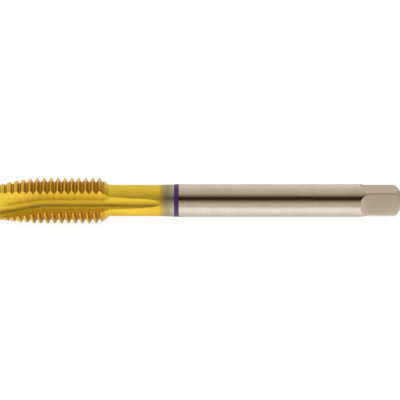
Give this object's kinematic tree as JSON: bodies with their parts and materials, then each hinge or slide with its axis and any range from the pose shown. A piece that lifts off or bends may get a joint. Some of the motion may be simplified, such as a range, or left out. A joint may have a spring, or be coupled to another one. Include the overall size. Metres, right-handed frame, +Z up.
{
  "type": "machine thread tap",
  "caption": "Machine thread tap with straight flutes, spiral point, gold coated cutting end, reduced shank, colour ring and driving square.",
  "frame": {"origin": "On the tap's axis, midway along the shank.", "axes": "+X runs along the axis from the cutting end to the driving square, and +Z is up with the tap lying as it comes to rest, one flute facing down."},
  "size_m": [0.087, 0.01, 0.0094],
  "materials": {
    "tool_steel": "Ground high speed steel, polished on the shank. The thread, the flutes and the neck carry a gold nitride coating that fades out just before the ring.",
    "band_lacquer": "Thin violet lacquer ring, glossy."
  },
  "bodies": {
    "root": {"tap_body": "tool_steel", "colour_band": "band_lacquer"}
  },
  "joints": []
}
